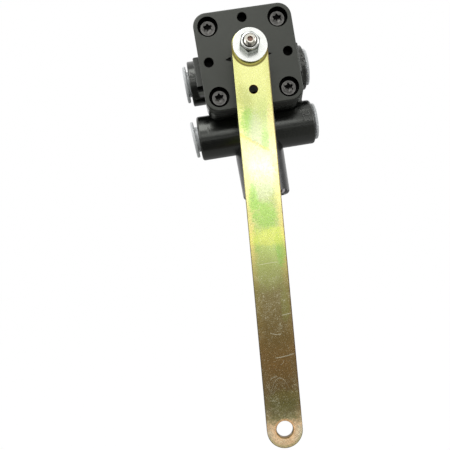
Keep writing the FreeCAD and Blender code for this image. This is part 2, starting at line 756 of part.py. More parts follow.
def make_strainer():
    """Wire-mesh cup and rim in the lower left supply port."""
    axis = (port_axis_y, lower_z)
    inner_r = strainer_d / 2 - strainer_rim_wall
    rim = tube(strainer_d / 2, inner_r, -port_floor_x - strainer_rim_h, -port_floor_x, "x", axis)
    return rim.fuse(cylinder(strainer_d / 2, -port_floor_x - strainer_mesh, -port_floor_x, "x", axis))


def make_check_disc():
    """Rubber non-return disc on the mouth of the passage in the lower right port."""
    start = port_floor_x + disc_seat_gap
    disc = cylinder(disc_d / 2, start, start + disc_h, "x", (port_axis_y, lower_z))
    return disc.makeFillet(disc_edge_round, edges_at(disc, "x", start + disc_h))


def make_check_cage():
    """Three-legged clip that keeps the disc at its seat."""
    axis = (port_axis_y, lower_z)
    wall_r = port_bore_d / 2 - fixed_gap
    top = port_floor_x + disc_seat_gap + disc_h + disc_lift
    cage = tube(wall_r, disc_d / 2 + cage_guide_gap, port_floor_x, top, "x", axis)
    cage = cage.fuse(tube(wall_r, disc_d / 2 - cage_lip, top, top + cage_lip_h, "x", axis))
    for turn in (0, 120, 240):
        window = Part.makeBox(top - port_floor_x - cage_foot_h, cage_window_w, 2 * wall_r,
                              FreeCAD.Vector(port_floor_x, port_axis_y - cage_window_w / 2, lower_z))
        window.rotate(FreeCAD.Vector(port_floor_x, port_axis_y, lower_z), X, turn)
        cage = cage.cut(window)
    return cage


def make_stud(side):
    """Mounting stud with a hexagon root moulded into the back face."""
    place = (side * stud_spread / 2, stud_height)
    stud = cylinder(stud_d / 2, -fuse_lap, stud_out, "y", place)
    stud = stud.makeChamfer(stud_chamfer, edges_at(stud, "y", stud_out))
    return stud.fuse(hexagon(stud_root_flats, -stud_root_h, 0, place))


def make_plug(name, side, height):
    """Soft tapered plug with a grip flange, hollow from outside."""
    neck_r = plug_neck_d / 2
    tip_r = plug_tip_d / 2
    inner = port_face_x - plug_insert
    profile = [(inner, 0), (inner, tip_r - plug_tip_chamfer), (inner + plug_tip_chamfer, tip_r),
               (port_face_x, neck_r), (plug_flange_x, neck_r),
               (plug_flange_x, plug_flange_d / 2), (plug_reach, plug_flange_d / 2),
               (plug_reach, neck_r - plug_wall), (inner + plug_wall, tip_r - plug_wall),
               (inner + plug_wall, 0)]
    plug = turned(profile, FreeCAD.Vector(0, port_axis_y, height), X * side, Z)
    rims = [e for e in plug.Edges
            if abs(e.BoundBox.ZLength - plug_flange_d) < 0.01 and e.BoundBox.XLength < 0.01]
    plug = plug.makeFillet(plug_edge_round, rims)
    plug.rotate(FreeCAD.Vector(side * port_face_x, port_axis_y, height), Y, plug_askew_deg[name])
    plug.translate(X * (-side * plug_pushed_in[name]))
    return plug


os.makedirs("parts", exist_ok=True)
save(make_housing(), "housing")
save(make_cover(), "front_cover")
save(make_cover_seal(), "cover_seal")
save(Part.makeCompound([make_cover_screw(x, z) for x, z in screw_places()]), "cover_screws")
save(make_shaft(), "lever_shaft")
save(make_shaft_clip(), "shaft_clip")
save(make_front_bush(), "front_bush")
save(make_rear_bush(), "rear_bush")
save(make_shaft_seal(), "shaft_seal")
save(make_dust_wiper(), "dust_wiper")
save(make_lever(), "lever_arm")
save(make_washer(), "lever_washer")
save(make_nut(), "lock_nut")
save(make_nut_insert(), "nut_insert")
save(make_spool(), "valve_spool")
save(make_spool_rings(), "spool_rings")
save(make_sleeve(), "spool_sleeve")
save(make_spring_seat(), "spring_seat")
save(make_spool_spring(), "spool_spring")
save(make_leg(), "exhaust_leg")
save(make_leg_ring(), "leg_seal")
save(make_silencer(), "silencer_pad")
save(make_flap(), "exhaust_flap")
save(make_strainer(), "supply_strainer")
save(make_check_disc(), "check_disc")
save(make_check_cage(), "check_cage")
save(Part.makeCompound([make_stud(side) for side in (-1, 1)]), "mounting_studs")
for port_name, port_side, port_height in port_places():
    save(make_plug(port_name, port_side, port_height), "port_plug_" + port_name)
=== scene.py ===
import json
import math
import bpy
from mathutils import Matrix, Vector


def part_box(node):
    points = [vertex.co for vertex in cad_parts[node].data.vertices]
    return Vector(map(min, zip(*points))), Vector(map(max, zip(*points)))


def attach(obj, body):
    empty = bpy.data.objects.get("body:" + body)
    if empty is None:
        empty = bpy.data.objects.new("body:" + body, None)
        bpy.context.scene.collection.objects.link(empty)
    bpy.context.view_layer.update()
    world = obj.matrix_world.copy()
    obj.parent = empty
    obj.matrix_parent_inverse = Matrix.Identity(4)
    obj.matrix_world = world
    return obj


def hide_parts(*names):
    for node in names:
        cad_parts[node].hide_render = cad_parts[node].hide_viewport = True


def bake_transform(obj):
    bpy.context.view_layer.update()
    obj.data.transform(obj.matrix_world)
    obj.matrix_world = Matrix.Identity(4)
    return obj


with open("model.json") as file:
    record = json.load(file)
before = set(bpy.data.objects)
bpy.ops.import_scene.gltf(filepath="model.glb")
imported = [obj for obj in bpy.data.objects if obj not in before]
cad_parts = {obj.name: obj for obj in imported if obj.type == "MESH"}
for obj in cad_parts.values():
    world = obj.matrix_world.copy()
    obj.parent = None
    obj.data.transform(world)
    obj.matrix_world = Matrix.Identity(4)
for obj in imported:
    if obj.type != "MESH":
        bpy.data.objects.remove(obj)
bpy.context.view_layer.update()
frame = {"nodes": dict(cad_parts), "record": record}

# Camera
# A 45 mm lens nearly square to the cover, a little below the exhaust leg, and rolled so
# that the valve leans to the left.
camera_data = bpy.data.cameras.new("camera")
camera_data.sensor_width = 36
camera_data.lens = 44.76
camera_data.shift_x = -0.0834
camera_data.shift_y = 0.0337
camera = bpy.data.objects.new("camera", camera_data)
bpy.context.scene.collection.objects.link(camera)
camera.location = (-0.0352, -0.4775, -0.1326)
camera.rotation_euler = [math.radians(turn) for turn in (89.737, 9.565, -3.254)]
bpy.context.scene.camera = camera


# Housing
# The main moulding of black glass-filled nylon: the square front block, the four port
# bosses, the shoulders beside the block and the stump of the exhaust leg in one piece.
def srgb(red, green, blue):
    """Linear colour of an 8-bit one."""
    def linear(part):
        part = part / 255
        return part / 12.92 if part <= 0.04045 else ((part + 0.055) / 1.055) ** 2.4
    return (linear(red), linear(green), linear(blue), 1.0)


class Value:
    """The output of a node, which can be reckoned with: each sum adds its own node."""

    def __init__(self, finish, socket):
        self.finish = finish
        self.socket = socket

    def __add__(self, other):
        return self.finish.maths("ADD", self, other)

    def __sub__(self, other):
        return self.finish.maths("SUBTRACT", self, other)

    def __rsub__(self, other):
        return self.finish.maths("SUBTRACT", other, self)

    def __mul__(self, other):
        return self.finish.maths("MULTIPLY", self, other)

    def __truediv__(self, other):
        return self.finish.maths("DIVIDE", self, other)

    def __abs__(self):
        return self.finish.maths("ABSOLUTE", self, 0.0)

    __radd__ = __add__
    __rmul__ = __mul__


class Nodes:
    """A node tree, and the few kinds of node that the finishes are made of."""

    def __init__(self, tree):
        self.tree = tree

    def feed(self, socket, value):
        if isinstance(value, Value):
            self.tree.links.new(value.socket, socket)
        else:
            socket.default_value = value

    def node(self, kind, settings=None, inputs=None, output=0):
        """Any node: its settings first, then the values or links of its sockets."""
        node = self.tree.nodes.new("ShaderNode" + kind)
        for name, value in (settings or {}).items():
            if name == "stops":
                ramp = node.color_ramp
                for place, colour in value[1:-1]:
                    ramp.elements.new(place).color = colour
                ramp.elements[0].position, ramp.elements[0].color = value[0]
                ramp.elements[-1].position, ramp.elements[-1].color = value[-1]
            else:
                setattr(node, name, value)
        for name, value in (inputs or {}).items():
            self.feed(node.inputs[name], value)
        if output is None:
            return list(node.outputs)
        return Value(self, node.outputs[output])

    def maths(self, operation, first, second):
        return self.node("Math", {"operation": operation}, {0: first, 1: second})

    def place(self):
        """Object coordinates, in metres."""
        return self.node("TexCoord", output="Object")

    def axes(self, vector=None):
        """The three parts of a vector, or else of the place: rightward, backward and upward."""
        parts = self.node("SeparateXYZ", {}, {0: vector or self.place()}, None)
        return [Value(self, part) for part in parts]

    def noise(self, scale, detail=3.0, roughness=0.55, distortion=0.0):
        inputs = {"Scale": scale, "Detail": detail, "Roughness": roughness,
                  "Distortion": distortion, "Vector": self.place()}
        return self.node("TexNoise", {}, inputs)

    def step(self, value, low, high):
        """0 below low, 1 above high and smooth between."""
        return self.node("MapRange", {"interpolation_type": "SMOOTHSTEP"},
                         {"Value": value, "From Min": low, "From Max": high})

    def disc(self, first, second, inner, outer):
        """1 where two offsets lie within the inner radius of nought, 0 past the outer one."""
        return 1 - self.step(first * first + second * second, inner ** 2, outer ** 2)

    def mix(self, factor, first, second):
        """A colour between two colours."""
        inputs = {0: factor, 6: first, 7: second}
        return self.node("Mix", {"data_type": "RGBA"}, inputs, output=2)

    def ramp(self, value, stops):
        return self.node("ValToRGB", {"stops": stops}, {0: value})

    def backdrop_rays(self):
        """The rays that show the backdrop itself: seen, mirrored and seen through."""
        sockets = self.node("LightPath", output=None)
        ways = {socket.name: Value(self, socket) for socket in sockets}
        return ways["Is Camera Ray"], ways["Is Glossy Ray"], ways["Is Transmission Ray"]


class Finish(Nodes):
    """A surface finish round one main shader."""

    def __init__(self, name, **constants):
        self.material = bpy.data.materials.new(name)
        self.material.use_nodes = True
        super().__init__(self.material.node_tree)
        self.shader = self.tree.nodes["Principled BSDF"]
        for socket, value in constants.items():
            self.set(socket.replace("_", " "), value)

    def set(self, socket, value):
        self.feed(self.shader.inputs[socket], value)

    def paint(self, where, colour):
        """Lays a colour over the one so far, as thickly as where says."""
        skin = Value(self, self.shader.inputs["Base Color"].links[0].from_socket)
        self.set("Base Color", self.mix(where, skin, colour))

    def bump(self, height, strength, distance=0.0001):
        inputs = {"Height": height, "Strength": strength, "Distance": distance}
        self.set("Normal", self.node("Bump", {}, inputs))


def only(piece):
    """Selects one object alone."""
    bpy.ops.object.select_all(action="DESELECT")
    piece.select_set(True)
    bpy.context.view_layer.objects.active = piece


def smooth_copy(node, name, angle=32):
    """A welded copy of a node's mesh that shades round where it is round."""
    only(frame["nodes"][node])
    bpy.ops.object.duplicate()
    piece = bpy.context.object
    piece.name = name
    piece.data = piece.data.copy()
    piece.data.materials.clear()
    bpy.ops.object.mode_set(mode="EDIT")
    bpy.ops.mesh.select_all(action="SELECT")
    bpy.ops.mesh.customdata_custom_splitnormals_clear()
    bpy.ops.mesh.remove_doubles(threshold=2e-6)
    bpy.ops.object.mode_set(mode="OBJECT")
    bpy.ops.object.shade_smooth_by_angle(angle=math.radians(angle))
    modifier = piece.modifiers.new("even", "WEIGHTED_NORMAL")
    modifier.keep_sharp = True
    bpy.ops.object.modifier_apply(modifier=modifier.name)
    return piece


def finished(piece, finish, slot, body, *nodes):
    """Gives a piece its finish, its body and the nodes that it stands for."""
    piece.data.materials.append(finish.material)
    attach(piece, body)
    if nodes:
        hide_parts(*nodes)


def moulded(name, colour, patch, roughness, grain, gloss=0.5, waves=0.0):
    """Moulded plastic: faint flow patches, a fine spark-eroded grain, uneven gloss and waves."""
    finish = Finish(name, Specular_IOR_Level=gloss)
    flow = finish.noise(55, 4)
    specks = finish.noise(2600, 2)
    shade = finish.step(flow * 0.7 + specks * 0.3, 0.32, 0.68)
    finish.set("Base Color", finish.mix(shade, colour, patch))
    finish.set("Roughness", roughness + (finish.noise(140, 5) - 0.5) * 0.22)
    height = finish.noise(1500, 3) + specks * 0.6
    if waves:
        height = height + finish.noise(420, 3, 0.5, distortion=0.6) * waves
    finish.bump(height, grain)
    return finish


black, worn_black = srgb(9, 10, 9), srgb(18, 19, 17)
housing_finish = moulded("housing nylon", black, worn_black, 0.2, 0.32, gloss=0.95, waves=1.6)
housing_finish.set("Specular Tint", (0.97, 1.0, 0.93, 1.0))
# painted shade: the pockets of the side pads are painted black, their sheen dulled, for the shade they
# lie in beside the bosses
pocket_height = -0.0133
pocket_side = 0.0365
pocket_depth = -0.0383
right, depth, up = housing_finish.axes()
level = 1 - housing_finish.step(abs(up - pocket_height), 0.0026, 0.0030)
beside = housing_finish.step(abs(right), pocket_side - 0.0001, pocket_side + 0.0001)
ahead = 1 - housing_finish.step(depth, pocket_depth - 0.0002, pocket_depth + 0.0003)
pocket_shade = level * beside * ahead
housing_finish.paint(pocket_shade, srgb(7, 7, 7))
housing_finish.set("Metallic", pocket_shade * 0.9)
housing = smooth_copy("housing", "housing_moulding")
finished(housing, housing_finish, "housing_nylon", "valve_body", "housing")


# Port numbers
# Plain figures raised beside the ports, moulded in one with the bosses and painted paler
# than the skin round them, a painted highlight for the glints on their raised edges.
boss_radius = 0.0177
boss_axis = -0.020
upper_ports = 0.0
lower_ports = -0.045
figure_size = 0.0086
figure_relief = 0.0004
figure_turn = math.radians(4)
# painted highlight: the figures are painted far paler than the black nylon they are moulded of
figure_highlight_finish = moulded("raised figures with painted highlight", srgb(84, 86, 82), srgb(104, 105, 99), 0.5, 0.3, gloss=0.9)


def port_number(figures, side, height, along, turned):
    """Raised figures wrapped round the front of a port boss; turned ones read downward."""
    bpy.ops.object.select_all(action="DESELECT")
    bpy.ops.object.text_add()
    word = bpy.context.object
    word.data.body = figures
    word.data.size = figure_size
    word.data.extrude = figure_relief
    word.data.bevel_depth = 0.0001
    word.data.align_x = "CENTER"
    word.data.align_y = "CENTER"
    bpy.ops.object.convert(target="MESH")
    word.name = "port_number_" + figures
    bpy.ops.object.mode_set(mode="EDIT")
    bpy.ops.mesh.select_all(action="SELECT")
    bpy.ops.mesh.remove_doubles(threshold=1e-6)
    bpy.ops.mesh.normals_make_consistent(inside=False)
    bpy.ops.object.mode_set(mode="OBJECT")
    for point in word.data.vertices:
        rightward, upward = point.co.xy
        if turned:
            rightward, upward = upward, -rightward
        angle = figure_turn + upward / boss_radius
        radius = boss_radius + point.co.z
        point.co = (side * along + rightward, boss_axis - radius * math.cos(angle),
                    height + radius * math.sin(angle))
    finished(word, figure_highlight_finish, "housing_nylon", "valve_body")


port_number("21", -1, upper_ports, 0.0425, True)
port_number("22", 1, upper_ports, 0.0425, True)
port_number("1", -1, lower_ports, 0.0382, False)
port_number("23", 1, lower_ports, 0.0397, True)


# Front cover
# The square plate over the lever mechanism, the same nylon with a duller textured face,
# held by four sunk screws; the pin holes and pointer marks are moulded in.
cover_finish = moulded("cover nylon", srgb(22, 24, 21), srgb(29, 30, 26), 0.44, 0.35, gloss=0.86)
cover_finish.set("Specular Tint", (0.97, 1.0, 0.91, 1.0))
# painted shade: what lies below the face, inside the plate's edge, is painted near black with its sheen
# dulled
cover_inside = 0.0344
face_depth = -0.0677
right, depth, up = cover_finish.axes()
off_middle = cover_finish.maths("MAXIMUM", abs(right), abs(up))
inner = 1 - cover_finish.step(off_middle, cover_inside - 0.0002, cover_inside + 0.0002)
sunk = cover_finish.step(depth, face_depth, face_depth + 0.0005) * inner
cover_finish.paint(sunk, srgb(9, 8, 9))
cover_finish.set("Metallic", sunk * 0.9)
cover = smooth_copy("front_cover", "cover_plate")
finished(cover, cover_finish, "cover_nylon", "valve_body", "front_cover")


# Cover screws
# Four thread-forming steel screws with low round heads and six-lobed sockets, plated with
# dark zinc and driven through the cover into the housing; the sockets are painted dark as shade, the
# heads' rims paler as a highlight.
def plated(name, colour, dull, roughness, streak=0.08):
    """Plated metal: clouded brightness, uneven gloss and fine scuffs."""
    finish = Finish(name, Metallic=1.0)
    cloud = finish.step(finish.noise(300, 5), 0.35, 0.7)
    finish.set("Base Color", finish.mix(cloud, colour, dull))
    finish.set("Roughness", roughness + (finish.noise(900, 4) - 0.5) * 0.2)
    finish.bump(finish.noise(2500, 3), streak)
    return finish


screw_spread = 0.026
socket_floor = -0.0622
socket_top = -0.0642
screw_finish = plated("dark zinc", srgb(104, 103, 100), srgb(74, 73, 71), 0.36)
right, depth, up = screw_finish.axes()
off_x = abs(right) - screw_spread
off_z = up - screw_finish.maths("SIGN", up, 0.0) * screw_spread
rim_highlight = 1 - screw_finish.disc(off_x, off_z, 0.0044, 0.0050)
sunk = screw_finish.step(depth, socket_top - 0.0002, socket_top + 0.0001)
wall = sunk * (1 - screw_finish.step(depth, socket_floor - 0.0001, socket_floor + 0.0002))
shaded = screw_finish.step(off_z, -0.0003, 0.0008)
socket_shade = screw_finish.maths("MAXIMUM", wall, shaded) * sunk
# painted highlight on the heads' rims, then painted shade on the sockets' walls, the upper half of their
# floors and their centres
screw_finish.paint(rim_highlight * 0.4, srgb(134, 133, 130))
screw_finish.paint(socket_shade, srgb(16, 15, 15))
screw_finish.paint(screw_finish.disc(off_x, off_z, 0.0003, 0.0008), srgb(20, 19, 19))
screws = smooth_copy("cover_screws", "cover_screw_set", 28)
finished(screws, screw_finish, "screw_steel", "valve_body", "cover_screws")


# Lever shaft
# Turned steel shaft with a clamping flange, held in the cover's bushes by a snap clip; its
# nose carries an M8 thread and a lathe centre painted with a reflection on its floor and shade on its
# wall.
steel_finish = plated("turned steel", srgb(252, 250, 238), srgb(226, 222, 208), 0.2, 0.04)
lever_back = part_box("lever_arm")[1][1]
nose_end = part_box("lever_shaft")[0][1]
thread_pitch = 0.00125
thread_core = 0.0033
thread_crest = 0.00398
thread_profile = thread_pitch * 0.56
cone_length = 0.0012
cone_share = 0.83


def screw_thread(name, start, end, centre):
    """One turn after another of a V thread along Y, its far end cut back to a cone."""
    turns = int(abs(end - start) / thread_pitch) + 1
    bpy.ops.object.select_all(action="DESELECT")
    bpy.ops.mesh.primitive_circle_add(vertices=3, radius=thread_profile,
                                      location=(thread_core, 0, 0), rotation=(0, 0, -math.pi / 2))
    thread = bpy.context.object
    bpy.ops.object.transform_apply()
    middle = sum(point.co.x for point in thread.data.vertices) / 3
    for point in thread.data.vertices:
        point.co.x = thread_crest if point.co.x > middle + 1e-5 else thread_core - 0.0002
    modifier = thread.modifiers.new("thread", "SCREW")
    modifier.axis = "Y"
    modifier.screw_offset = thread_pitch
    modifier.iterations = turns
    modifier.steps = 36
    modifier.render_steps = 36
    modifier.use_merge_vertices = False
    bpy.ops.object.modifier_apply(modifier=modifier.name)
    bpy.ops.object.mode_set(mode="EDIT")
    bpy.ops.mesh.select_all(action="DESELECT")
    bpy.ops.mesh.select_mode(type="EDGE")
    bpy.ops.mesh.select_non_manifold()
    bpy.ops.mesh.edge_face_add()
    bpy.ops.object.mode_set(mode="OBJECT")
    cone = math.copysign(cone_length, end - start)
    bpy.ops.mesh.primitive_cylinder_add(vertices=48, radius=thread_core,
                                        depth=abs(end - cone - start),
                                        location=(0, (start + end - cone) / 2, 0),
                                        rotation=(math.pi / 2, 0, 0))
    rod = bpy.context.object
    bpy.ops.object.transform_apply()
    for face in rod.data.polygons:
        face.select = len(face.vertices) > 20 and abs(face.center.y - end + cone) < 1e-5
    bpy.ops.object.mode_set(mode="EDIT")
    bpy.ops.mesh.select_mode(type="FACE")
    bpy.ops.mesh.extrude_region_move(TRANSFORM_OT_translate={"value": (0, cone, 0)})
    bpy.ops.transform.resize(value=(cone_share, 1, cone_share))
    bpy.ops.object.mode_set(mode="OBJECT")
    low, high = min(start, end), max(start, end)
    for point in thread.data.vertices:
        point.co.y = min(max(point.co.y + low, low + 0.0001), high - 0.0001)
        room = thread_core * cone_share + abs(end - point.co.y)
        share = min(1.0, room / max(point.co.xz.length, 1e-9))
        point.co.x *= share
        point.co.z *= share
    thread.select_set(True)
    rod.select_set(True)
    bpy.context.view_layer.objects.active = rod
    bpy.ops.object.join()
    rod.name = name
    bpy.ops.object.mode_set(mode="EDIT")
    bpy.ops.mesh.select_all(action="SELECT")
    bpy.ops.mesh.normals_make_consistent(inside=False)
    bpy.ops.object.mode_set(mode="OBJECT")
    for point in rod.data.vertices:
        point.co.x += centre[0]
        point.co.z += centre[1]
    return rod


shaft = smooth_copy("lever_shaft", "shaft_body", 30)
bpy.ops.object.mode_set(mode="EDIT")
bpy.ops.mesh.select_all(action="SELECT")
bpy.ops.mesh.bisect(plane_co=(0, lever_back, 0), plane_no=(0, -1, 0), clear_outer=True, use_fill=True)
bpy.ops.object.mode_set(mode="OBJECT")
finished(shaft, steel_finish, "shaft_steel", "lever", "lever_shaft")

# threaded nose, and the lathe centre in its end
centre_radius = 0.00155
centre_depth = 0.0022
centre_taper = 0.7
lip_width = 0.0004
lip_depth = 0.0006
end_edge = 0.0003
nose = screw_thread("shaft_thread", lever_back + 0.0002, nose_end, (0, 0))
bpy.ops.object.mode_set(mode="EDIT")
bpy.ops.mesh.select_all(action="DESELECT")
bpy.ops.object.mode_set(mode="OBJECT")
for face in nose.data.polygons:
    face.select = len(face.vertices) > 20 and face.center.y < nose_end + 1e-4
bpy.ops.object.mode_set(mode="EDIT")
bpy.ops.mesh.select_mode(type="FACE")
bpy.ops.mesh.inset(thickness=end_edge, depth=0.0)
end_ring = thread_core * cone_share - end_edge - centre_radius - lip_width
bpy.ops.mesh.inset(thickness=end_ring, depth=0.0)
bpy.ops.mesh.inset(thickness=lip_width, depth=-lip_depth)
bpy.ops.mesh.extrude_region_move(TRANSFORM_OT_translate={"value": (0, centre_depth, 0)})
bpy.ops.transform.resize(value=(centre_taper, 1, centre_taper))
bpy.ops.object.mode_set(mode="OBJECT")
bpy.ops.object.shade_smooth_by_angle(angle=math.radians(35))
finished(nose, steel_finish, "shaft_steel", "lever")


def stained(name, colour, patch):
    """Dull paint in the lathe centre: a painted reflection on its floor, painted shade on its wall."""
    finish = Finish(name, Roughness=0.8, Specular_IOR_Level=0.1)
    cloud = finish.step(finish.noise(1600, 3), 0.35, 0.7)
    finish.set("Base Color", finish.mix(cloud, colour, patch))
    return finish


# painted reflection on the centre's floor and painted shade on its wall
centre_floor_reflection = stained("lathe centre painted reflection", srgb(204, 166, 150), srgb(160, 124, 106))
centre_wall_shade = stained("lathe centre painted shade", srgb(62, 48, 42), srgb(40, 32, 28))
nose.data.materials.append(centre_floor_reflection.material)
nose.data.materials.append(centre_wall_shade.material)
for face in nose.data.polygons:
    inside = face.center.xz.length < centre_radius + 0.0001
    if inside and nose_end + 0.0004 < face.center.y < nose_end + 0.004:
        face.material_index = 1 if len(face.vertices) > 20 else 2


# Lever
# Flat steel bar with full-round ends, zinc plated and yellow chromated: the film runs from
# pale straw at the shaft to brown and a copper tint at the end hole, with fine scuffs. Painted
# light lies on it too: a pale highlight band, a pale end, dark rims and shade under the washer.
lever_tilt = math.radians(4.3)
# from here on in millimetres: down the bar from the shaft's axis, and across it
hole_spacing = 266.7
end_hole_radius = 5.75
pin_hole_place = 30.4
pin_hole_radius = 3.2
fold_place = 68.5
fold_slant = 0.62
washer_shade_drop = 1.9
washer_shade_inner, washer_shade_outer = 12.33, 13.27
# the film's colours down the bar and along its edges, with painted light in them: the pale stops a third
# of the way down are a painted highlight over the key lamp's own glare, and the pale peach at the end is
# partly painted reflection
middle_tints_and_light = [
    (0.00, srgb(250, 250, 168)), (0.10, srgb(236, 238, 158)), (0.18, srgb(192, 204, 132)),
    (0.32, srgb(228, 237, 197)), (0.40, srgb(178, 187, 124)), (0.53, srgb(200, 218, 132)),
    (0.65, srgb(156, 142, 96)), (0.75, srgb(148, 124, 76)), (0.84, srgb(160, 126, 76)),
    (0.93, srgb(118, 104, 68)), (0.97, srgb(144, 136, 92)), (0.99, srgb(228, 194, 152)),
]
edge_tints_and_light = [
    (0.00, srgb(238, 237, 156)), (0.16, srgb(222, 224, 142)), (0.28, srgb(243, 243, 174)),
    (0.43, srgb(214, 206, 132)), (0.51, srgb(240, 226, 138)), (0.64, srgb(163, 150, 93)),
    (0.80, srgb(160, 128, 80)), (0.94, srgb(146, 128, 88)), (0.97, srgb(176, 156, 112)),
    (0.99, srgb(228, 194, 152)), (1.03, srgb(208, 190, 158)),
]
# colours of the painted shade and reflection under the washer
washer_shade_tints = [
    (0.58, srgb(80, 76, 28)), (0.65, srgb(176, 170, 84)), (0.75, srgb(132, 118, 44)),
    (0.84, srgb(74, 58, 20)), (0.95, srgb(150, 128, 66)),
]
# thicker film turns green, thin film grey, and olive or rose come between
green = srgb(150, 198, 92)
olive = srgb(172, 176, 100)
grey = srgb(200, 204, 176)
rose = srgb(222, 194, 150)
lemon = srgb(252, 252, 120)
# blotches: middle down the bar and across it, half height, half width, colour and strength
blotches = [
    (36, -7, 12, 6, olive, 0.4), (51, -7, 10, 6, green, 0.6), (58, -1, 13, 5, grey, 0.5),
    (64, 5, 9, 2.6, green, 0.4), (54, 10, 11, 3, rose, 0.5), (106, -7, 13, 3.4, green, 0.6),
    (100, 1, 10, 6, grey, 0.4), (119, 0, 11, 7.5, green, 0.6), (134, -8, 10, 3, green, 0.5),
    (141, 8.5, 13, 3.4, green, 0.6), (133, 0, 7, 17, lemon, 0.45), (152, -4, 16, 7, olive, 0.3),
    (180, 8, 14, 3, olive, 0.4), (247, 0, 7, 14, olive, 0.22),
]
# single scratches: place down and across at both ends, sag between them, width and strength
scratches = [
    (217, -2, 215, 11.4, 0.5, 0.45, 0.6), (188, 5, 187, 12.4, 0.0, 0.35, 0.6),
    (152, -8, 151, 6, -0.3, 0.35, 0.35), (240, -7, 240, 6, -9.0, 0.5, 0.3),
    (199.5, -4, 201, 3.5, 0.6, 0.4, 0.5), (24.5, 8, 22, 10.5, 0.0, 0.3, 0.4),
    (222, 1, 219, 4, 0.8, 0.35, 0.4), (232, -7, 230, -2, -0.8, 0.4, 0.45),
]


def blotched(finish, across, down, ragged):
    """Rainbow blotches with ragged edges, where the film came out thicker."""
    for middle, off, half_height, half_width, colour, strength in blotches:
        height, width = (down - middle) / half_height, (across - off) / half_width
        inside = 1 - finish.step(height * height + width * width + ragged, 0.2, 1.4)
        finish.paint(inside * strength, colour)


def scratched(finish, across, down):
    """Single bowed scratches that show the bright zinc."""
    for down_1, across_1, down_2, across_2, sag, width, strength in scratches:
        run = (across - across_1) / (across_2 - across_1)
        line = down_1 + run * (down_2 - down_1) + run * (1 - run) * (4 * sag)
        inside = finish.step(run, -0.05, 0.1) * (1 - finish.step(run, 0.9, 1.05))
        scratch = (1 - finish.step(abs(down - line), width * 0.4, width)) * inside
        finish.paint(scratch * strength, srgb(255, 250, 220))


def edged(finish, across, down, grain):
    """Painted shade and dark reflection along the bar: a dark right rim, a duller left one and dark cut
    sides, which end near the tip.
    """
    above_tip = 1 - finish.step(down, 250, 262)
    right_rim_shade = finish.step(across + (grain - 0.5) * 0.5, 11.6, 12.1) * above_tip
    finish.paint(right_rim_shade * 0.7, srgb(110, 72, 50))
    left_rim_shade = finish.step((grain - 0.5) * 0.4 - across, 11.7, 12.2) * finish.step(down, 50, 90)
    finish.paint(left_rim_shade * above_tip * 0.7, srgb(112, 104, 74))
    cut_side_shade = finish.step(abs(across), 12.32, 12.47) * (1 - finish.step(down, 262, 270))
    finish.paint(cut_side_shade * 0.92, srgb(74, 46, 36))


def hole_rims(finish, across, down):
    """Walls of both holes, and the halo and the green rim round the end hole, with a crescent of painted
    shade below its edge.
    """
    pin_wall = finish.disc(across, down - pin_hole_place, pin_hole_radius + 0.01,
                           pin_hole_radius + 0.06)
    finish.paint(pin_wall, srgb(236, 158, 62))
    past_hole = down - hole_spacing
    finish.paint(finish.disc(across, past_hole, 6.2, 7.8) * 0.5, srgb(246, 180, 120))
    green_rim = 1 - finish.disc(across, past_hole, 10.4, 11.8)
    finish.paint(green_rim * finish.step(down, 268, 273) * 0.5, srgb(150, 152, 98))
    # painted shade: a dark crescent just below the end hole's edge, where its wall shows at a slant
    finish.paint(finish.disc(across, past_hole - 0.5, 6.1, 6.4) * 0.8, srgb(112, 100, 54))
    end_wall = finish.disc(across, past_hole, end_hole_radius + 0.02, end_hole_radius + 0.09)
    finish.paint(end_wall * 0.85, srgb(96, 70, 38))


